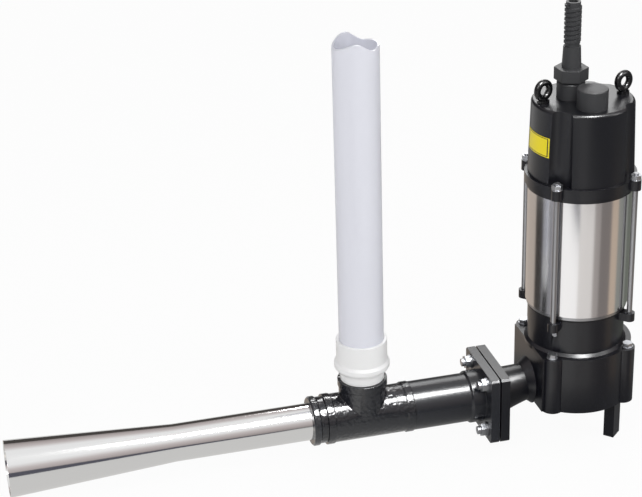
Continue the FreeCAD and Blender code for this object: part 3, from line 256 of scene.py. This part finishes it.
def sleeve_point(radius_mm, rise_mm):
    """A point of the sleeve's section, from its radius and its height above the sleeve's foot."""
    centre_x = (SLEEVE_LOW.x + SLEEVE_HIGH.x) / 2
    centre_y = (SLEEVE_LOW.y + SLEEVE_HIGH.y) / 2
    return Vector((centre_x + radius_mm * MM, centre_y, SLEEVE_LOW.z + rise_mm * MM))


def closed_outline(mesh, points):
    """The corners of a ring of points, and the edges between them."""
    verts = [mesh.verts.new(point) for point in points]
    return verts, [mesh.edges.new((a, b)) for a, b in zip(verts, verts[1:] + verts[:1])]


def make_sleeve():
    """Tube and wound rib, the rib sunk a little into the tube, its two ends closed."""
    height = (SLEEVE_HIGH.z - SLEEVE_LOW.z) / MM
    skirt_top = SLEEVE_SKIRT[1][1]
    axis_point = sleeve_point(0, 0)
    mesh = bmesh.new()
    tube = [(SLEEVE_BORE, 0), *SLEEVE_SKIRT, (SLEEVE_ROOT, skirt_top), (SLEEVE_ROOT, height),
            (SLEEVE_BORE, height)]
    verts, edges = closed_outline(mesh, [sleeve_point(*point) for point in tube])
    bmesh.ops.spin(mesh, geom=verts + edges, cent=axis_point, axis=(0, 0, 1), dvec=(0, 0, 0),
                   angle=math.tau, steps=ROUND_STEPS, use_merge=True)
    foot, crest = RIB_WIDTH
    start = skirt_top + RIB_CLEAR_OF_SKIRT
    slope = (foot - crest) / 2
    section = [(SLEEVE_ROOT - RIB_SINK, start), (RIB_CREST, start + slope),
               (RIB_CREST, start + slope + crest), (SLEEVE_ROOT - RIB_SINK, start + foot)]
    verts, edges = closed_outline(mesh, [sleeve_point(*point) for point in section])
    mesh.faces.new(verts)
    wound = bmesh.ops.spin(mesh, geom=verts + edges, cent=axis_point, axis=(0, 0, 1),
                           dvec=(0, 0, RIB_PITCH * MM / STEPS_PER_TURN), angle=math.tau * RIB_TURNS,
                           steps=round(RIB_TURNS * STEPS_PER_TURN), use_merge=False)
    mesh.faces.new([item for item in wound["geom_last"] if isinstance(item, bmesh.types.BMVert)])
    piece = make_piece("spiral_sleeve", mesh, gland_plastic, BODY_OF["strain_relief_sleeve"],
                       SLOT_OF["strain_relief_sleeve"], "strain_relief_sleeve")
    smooth_shading(piece)


make_sleeve()

# The yellow sticker on the cover: blank, with a thin dark line inside its edge
STICKER_LOW_Z = 458 * MM
STICKER_HEIGHT = 29 * MM
STICKER_START = math.radians(-192)
STICKER_END = math.radians(-149)
STICKER_LIFT = 0.35 * MM
STICKER_THICKNESS = 0.15 * MM
STICKER_STEPS = 24
# The line's place and half width, as shares of the sticker's sides from its middle
LINE_INSET = 0.44
LINE_HALF_WIDTH = 0.018
COVER_BOTTOM_RADIUS = 76 * MM
COVER_TOP_RADIUS = 73 * MM
COVER_RIM_Z = 418 * MM
COVER_SHOULDER_Z = 522 * MM


def cover_radius_at(height):
    """The radius of the cover's drafted wall at a height."""
    share = (height - COVER_RIM_Z) / (COVER_SHOULDER_Z - COVER_RIM_Z)
    return COVER_BOTTOM_RADIUS + (COVER_TOP_RADIUS - COVER_BOTTOM_RADIUS) * share


def sticker_material():
    """Printed vinyl: flat bright yellow with a satin face and one thin dark line."""
    made, tree = material("sticker_vinyl")
    place = add(tree, "ShaderNodeSeparateXYZ", Vector=add(tree, "ShaderNodeUVMap"))
    lines, insides = [], []
    for axis in ("X", "Y"):
        centred = add(tree, "ShaderNodeMath", {"operation": "SUBTRACT"},
                      {0: place.outputs[axis], 1: 0.5})
        reach = add(tree, "ShaderNodeMath", {"operation": "ABSOLUTE"}, {0: centred})
        lines.append(add(tree, "ShaderNodeMath", {"operation": "COMPARE"},
                         {0: reach, 1: LINE_INSET, 2: LINE_HALF_WIDTH}))
        insides.append(add(tree, "ShaderNodeMath", {"operation": "LESS_THAN"},
                           {0: reach, 1: LINE_INSET + LINE_HALF_WIDTH}))
    upright = add(tree, "ShaderNodeMath", {"operation": "MULTIPLY"}, {0: lines[0], 1: insides[1]})
    level = add(tree, "ShaderNodeMath", {"operation": "MULTIPLY"}, {0: lines[1], 1: insides[0]})
    line = add(tree, "ShaderNodeMath", {"operation": "MAXIMUM"}, {0: upright, 1: level})
    printed = add(tree, "ShaderNodeMix", {"data_type": "RGBA"},
                  {0: line, 6: colour("fbe61c"), 7: colour("3a3416")})
    shader = add(tree, "ShaderNodeBsdfPrincipled", Base_Color=printed.outputs[2], Roughness=0.4)
    add(tree, "ShaderNodeOutputMaterial", Surface=shader)
    return made


def make_sticker():
    """A thin plate bent round the cover's wall, a little clear of it."""
    mesh = bmesh.new()
    bottom = cover_radius_at(STICKER_LOW_Z) + STICKER_LIFT
    top = cover_radius_at(STICKER_LOW_Z + STICKER_HEIGHT) + STICKER_LIFT
    direction = Vector((math.cos(STICKER_START), math.sin(STICKER_START), 0))
    centre = Vector((PUMP_X, 0, 0))
    low = mesh.verts.new(centre + direction * bottom + Vector((0, 0, STICKER_LOW_Z)))
    high = mesh.verts.new(centre + direction * top + Vector((0, 0, STICKER_LOW_Z + STICKER_HEIGHT)))
    edge = mesh.edges.new((low, high))
    bmesh.ops.spin(mesh, geom=[low, high, edge], cent=centre, axis=(0, 0, 1), dvec=(0, 0, 0),
                   angle=STICKER_END - STICKER_START, steps=STICKER_STEPS, use_merge=False)
    uv = mesh.loops.layers.uv.new("UVMap")
    for face in mesh.faces:
        for loop in face.loops:
            turn = math.atan2(loop.vert.co.y, loop.vert.co.x - PUMP_X)
            turn -= math.tau if turn > 0 else 0
            loop[uv].uv = ((turn - STICKER_START) / (STICKER_END - STICKER_START),
                           (loop.vert.co.z - STICKER_LOW_Z) / STICKER_HEIGHT)
    bmesh.ops.solidify(mesh, geom=mesh.faces[:], thickness=STICKER_THICKNESS)
    piece = make_piece("sticker", mesh, sticker_material(), "casing", "black_enamel")
    smooth_shading(piece)


make_sticker()

# The camera, fitted to the photograph: yaw, pitch and roll in radians
CAMERA_PLACE = Vector((PUMP_X - 937.1 * MM, -2215.0 * MM, JET_Z + 1338.7 * MM))
CAMERA_YAW = 0.2439
CAMERA_PITCH = 0.4361
CAMERA_ROLL = -0.0302
FOCAL_PIXELS = 1800
IMAGE_WIDTH = 642
SENSOR = 36

# Stage: pale floor, lamps and camera. The floor and the sky are white to the camera.
FLOOR_HALF_WIDTH = 20
FLOOR_GLOW = 1.0
FLOOR_WHITENING = 0.95
# In mirrors the floor is dim beside the pump and light beside the diffuser, and changes between two x
FLOOR_GLOW_BY_PUMP = 0.2
FLOOR_GLOW_BY_DIFFUSER = 0.75
PUMP_FLOOR_X = 0.3
DIFFUSER_FLOOR_X = 0.06
SKY_GLOW = 1.0
SKY_GLOW_ON_PIECES = 0.5
# The room in mirrors: its tones by how steeply a ray climbs, and darker on the far side
FAR_SIDE_DARKENING = -0.3
ROOM_TONES = ((0.26, "4a4644"), (0.32, "a59c9a"), (0.7, "d4cbca"), (0.9, "ffffff"))

# What the upright polished shell mirrors: each band from a share of its half width on, with its colour
# and its brightness
SHELL_BANDS = (
    (-1.0, "c9bcb0", 1.0), (-0.82, "423e3b", 1.0), (-0.68, "97969a", 1.0), (-0.48, "c6c4c6", 1.0),
    (-0.34, "fffdfa", 1.35), (0.02, "f4efea", 1.1), (0.3, "b8b0ab", 1.0), (0.42, "8c8480", 1.0),
    (0.62, "d6c2ae", 1.0), (0.75, "9a9c96", 1.0), (0.92, "74786f", 1.0),
)
# Rays off the shell meet the floor at this distance from the pump's axis and this steeply, give or take.
# Left of PUMP_SIDE_X only rays from the pump's side see bands, so that the diffuser mirrors none.
BAND_REACH, BAND_REACH_RANGE = 0.68, 0.41
BAND_SLOPE, BAND_SLOPE_RANGE = 0.425, 0.11
PUMP_SIDE_X = 0.25


def band_colour(tree, ray):
    """Bands by the direction a mirrored ray goes, so they stand upright on the shell."""
    to_camera = math.atan2(CAMERA_PLACE.y, CAMERA_PLACE.x - PUMP_X)
    facing = (math.cos(to_camera), math.sin(to_camera))
    ahead = add(tree, "ShaderNodeVectorMath", {"operation": "DOT_PRODUCT"},
                {0: ray, 1: (-facing[0], -facing[1], 0)})
    aside = add(tree, "ShaderNodeVectorMath", {"operation": "DOT_PRODUCT"},
                {0: ray, 1: (facing[1], -facing[0], 0)})
    turn = add(tree, "ShaderNodeMath", {"operation": "ARCTAN2"},
               {0: aside.outputs["Value"], 1: ahead.outputs["Value"]})
    lean = add(tree, "ShaderNodeMath", {"operation": "MULTIPLY"}, {0: turn, 1: 0.5})
    share = add(tree, "ShaderNodeMath", {"operation": "SINE"}, {0: lean})
    along = add(tree, "ShaderNodeMath", {"operation": "MULTIPLY_ADD"}, {0: share, 1: 0.5, 2: 0.5})
    ramp = add(tree, "ShaderNodeValToRGB", Fac=along)
    ramp.color_ramp.interpolation = "CONSTANT"
    stops = ramp.color_ramp.elements
    for index, (start, hex_text, strength) in enumerate(SHELL_BANDS):
        stop = stops[0] if index == 0 else stops.new((start + 1) / 2)
        stop.color = [strength * part for part in colour(hex_text)[:3]] + [1]
    stops[len(stops) - 1].color = stops[len(stops) - 2].color
    return ramp


def floor_in_mirrors(tree):
    """A plain glow, with the bands where the rays off the shell meet the floor."""
    place = add(tree, "ShaderNodeNewGeometry")
    ray = add(tree, "ShaderNodeSeparateXYZ", Vector=place.outputs["Incoming"])
    spot = add(tree, "ShaderNodeSeparateXYZ", Vector=place.outputs["Position"])
    by_diffuser = add(tree, "ShaderNodeMapRange", Value=spot.outputs["X"], From_Min=PUMP_FLOOR_X,
                      From_Max=DIFFUSER_FLOOR_X)
    dim = add(tree, "ShaderNodeEmission", Color=colour("ffffff"), Strength=FLOOR_GLOW_BY_PUMP)
    light = add(tree, "ShaderNodeEmission", Color=colour("fbfaf8"), Strength=FLOOR_GLOW_BY_DIFFUSER)
    plain_floor = add(tree, "ShaderNodeMixShader", None, {0: by_diffuser, 1: dim, 2: light})
    reach = add(tree, "ShaderNodeVectorMath", {"operation": "DISTANCE"},
                {0: place.outputs["Position"], 1: (PUMP_X, 0, 0)})
    beside = add(tree, "ShaderNodeMath", {"operation": "COMPARE"},
                 {0: reach.outputs["Value"], 1: BAND_REACH, 2: BAND_REACH_RANGE})
    steep = add(tree, "ShaderNodeMath", {"operation": "COMPARE"},
                {0: ray.outputs["Z"], 1: BAND_SLOPE, 2: BAND_SLOPE_RANGE})
    by_pump = add(tree, "ShaderNodeMath", {"operation": "GREATER_THAN"},
                  {0: spot.outputs["X"], 1: PUMP_SIDE_X})
    from_pump = add(tree, "ShaderNodeMath", {"operation": "GREATER_THAN"},
                    {0: ray.outputs["X"], 1: 0})
    either = add(tree, "ShaderNodeMath", {"operation": "MAXIMUM"}, {0: by_pump, 1: from_pump})
    from_shell = add(tree, "ShaderNodeMath", {"operation": "MULTIPLY"}, {0: beside, 1: steep})
    banded = add(tree, "ShaderNodeMath", {"operation": "MULTIPLY"}, {0: either, 1: from_shell})
    bands = add(tree, "ShaderNodeEmission", Color=band_colour(tree, place.outputs["Incoming"]),
                Strength=1.0)
    return add(tree, "ShaderNodeMixShader", None, {0: banded, 1: plain_floor, 2: bands})


def make_floor():
    """A pale floor: to the camera pure white but for faint shadows, and to mirrors a glow with bands."""
    mesh = bmesh.new()
    bmesh.ops.create_grid(mesh, x_segments=1, y_segments=1, size=FLOOR_HALF_WIDTH)
    data = bpy.data.meshes.new("floor")
    mesh.to_mesh(data)
    mesh.free()
    floor = bpy.data.objects.new("floor", data)
    bpy.context.scene.collection.objects.link(floor)
    made, tree = material("floor_paper")
    rays = add(tree, "ShaderNodeLightPath")
    paper = add(tree, "ShaderNodeBsdfDiffuse", Color=colour("f4f4f4"))
    white = add(tree, "ShaderNodeEmission", Color=colour("ffffff"), Strength=FLOOR_GLOW)
    share = add(tree, "ShaderNodeMath", {"operation": "MULTIPLY"},
                {0: rays.outputs["Is Camera Ray"], 1: FLOOR_WHITENING})
    seen = add(tree, "ShaderNodeMixShader", None, {0: share, 1: paper, 2: white})
    surface = add(tree, "ShaderNodeMixShader", None,
                  {0: rays.outputs["Is Glossy Ray"], 1: seen, 2: floor_in_mirrors(tree)})
    add(tree, "ShaderNodeOutputMaterial", Surface=surface)
    data.materials.append(made)


def make_world():
    """White to the camera; in mirrors a dark far wall that brightens to a white ceiling."""
    world = bpy.data.worlds.new("studio")
    bpy.context.scene.world = world
    world.use_nodes = True
    tree = world.node_tree
    tree.nodes.clear()
    rays = add(tree, "ShaderNodeLightPath")
    place = add(tree, "ShaderNodeTexCoord")
    parts = add(tree, "ShaderNodeSeparateXYZ", Vector=place.outputs["Generated"])
    climb = add(tree, "ShaderNodeMath", {"operation": "MULTIPLY_ADD"},
                {0: parts.outputs["Y"], 1: FAR_SIDE_DARKENING, 2: parts.outputs["Z"]})
    ramp = add(tree, "ShaderNodeValToRGB", Fac=climb)
    stops = ramp.color_ramp.elements
    stops[0].position, stops[1].position = ROOM_TONES[0][0], ROOM_TONES[-1][0]
    for position, _ in ROOM_TONES[1:-1]:
        stops.new(position)
    for stop, (_, hex_text) in zip(stops, ROOM_TONES):
        stop.color = colour(hex_text)
    room = add(tree, "ShaderNodeBackground", Color=ramp, Strength=1.0)
    dim = add(tree, "ShaderNodeBackground", Color=colour("ffffff"), Strength=SKY_GLOW_ON_PIECES)
    white = add(tree, "ShaderNodeBackground", Color=colour("ffffff"), Strength=SKY_GLOW)
    lit = add(tree, "ShaderNodeMixShader", None, {0: rays.outputs["Is Glossy Ray"], 1: dim, 2: room})
    seen = add(tree, "ShaderNodeMath", {"operation": "MAXIMUM"},
               {0: rays.outputs["Is Camera Ray"], 1: rays.outputs["Is Transmission Ray"]})
    sky = add(tree, "ShaderNodeMixShader", None, {0: seen, 1: lit, 2: white})
    add(tree, "ShaderNodeOutputWorld", Surface=sky)


def make_lamp(name, place, target, size, watts, only_mirrored):
    """A flat lamp turned to its target. One that is only mirrored puts no light on matt faces."""
    light = bpy.data.lights.new(name, "AREA")
    light.shape = "RECTANGLE"
    light.size, light.size_y = size
    light.energy = watts
    lamp = bpy.data.objects.new(name, light)
    lamp.location = place
    lamp.rotation_euler = (Vector(target) - Vector(place)).to_track_quat("-Z", "Y").to_euler()
    lamp.visible_diffuse = not only_mirrored
    bpy.context.scene.collection.objects.link(lamp)


def make_backdrop(name, y, outline, hex_text, strength):
    """An upright card out of shot that only mirrors see, from its outline in x and z."""
    mesh = bmesh.new()
    mesh.faces.new([mesh.verts.new((x, y, z)) for x, z in outline])
    data = bpy.data.meshes.new(name)
    mesh.to_mesh(data)
    mesh.free()
    made, tree = material(name)
    glow = add(tree, "ShaderNodeEmission", Color=colour(hex_text), Strength=strength)
    add(tree, "ShaderNodeOutputMaterial", Surface=glow)
    data.materials.append(made)
    backdrop = bpy.data.objects.new(name, data)
    backdrop.visible_camera = False
    backdrop.visible_shadow = False
    backdrop.visible_diffuse = False
    bpy.context.scene.collection.objects.link(backdrop)


def make_camera():
    """The camera, from its place, its three angles and its focal length."""
    ahead = Vector((math.sin(CAMERA_YAW) * math.cos(CAMERA_PITCH),
                    math.cos(CAMERA_YAW) * math.cos(CAMERA_PITCH), -math.sin(CAMERA_PITCH)))
    level = Vector((math.cos(CAMERA_YAW), -math.sin(CAMERA_YAW), 0))
    upright = level.cross(ahead)
    right = level * math.cos(CAMERA_ROLL) + upright * math.sin(CAMERA_ROLL)
    up = upright * math.cos(CAMERA_ROLL) - level * math.sin(CAMERA_ROLL)
    data = bpy.data.cameras.new("camera")
    data.sensor_width = SENSOR
    data.lens = FOCAL_PIXELS / IMAGE_WIDTH * SENSOR
    camera = bpy.data.objects.new("camera", data)
    turn = Matrix((right, up, -ahead)).transposed().to_4x4()
    camera.matrix_world = Matrix.Translation(CAMERA_PLACE) @ turn
    bpy.context.scene.collection.objects.link(camera)
    bpy.context.scene.camera = camera


# Each lamp's place and target, its two sides, its watts, and whether only mirrors show it
PUMP_MIDDLE = (PUMP_X, 0, 0.33)
PIPE_MIDDLE = (0.12, 0, JET_Z)
LAMPS = (
    ("key_lamp", (-1.4, -2.2, 2.4), PUMP_MIDDLE, (1.2, 1.2), 34, False),
    ("strip_lamp", (0.48, -0.73, 1.75), PIPE_MIDDLE, (0.62, 0.62), 56, True),
    ("rim_lamp", (0.58, 1.4, 1.4), PIPE_MIDDLE, (0.46, 0.2), 10, True),
    ("side_lamp", (2.2, -1.2, 1.4), PUMP_MIDDLE, (0.6, 1.6), 14, False),
)
# Each backdrop's y, its outline in x and z, its colour and its brightness. The front one gives the dark
# line along the diffuser. The back ones show in level faces, the low one in the flanges and the casing,
# the high one in the cover.
BACKDROPS = (
    ("front_backdrop", -0.8, ((-1.6, 0.002), (0.1, 0.002), (0.1, 0.05), (-0.45, 0.3), (-1.6, 0.3)),
     "5c5c66", 1.0),
    ("low_back_backdrop", 1.0, ((0.35, 0.5), (1.15, 0.5), (1.15, 0.85), (0.35, 0.85)), "ffffff", 1.3),
    ("high_back_backdrop", 1.0, ((0.35, 0.85), (1.15, 0.85), (1.15, 1.3), (0.35, 1.3)), "ffffff", 2.4),
)
make_floor()
make_world()
for lamp_values in LAMPS:
    make_lamp(*lamp_values)
for backdrop_values in BACKDROPS:
    make_backdrop(*backdrop_values)
make_camera()
bpy.context.scene.view_settings.view_transform = "Standard"
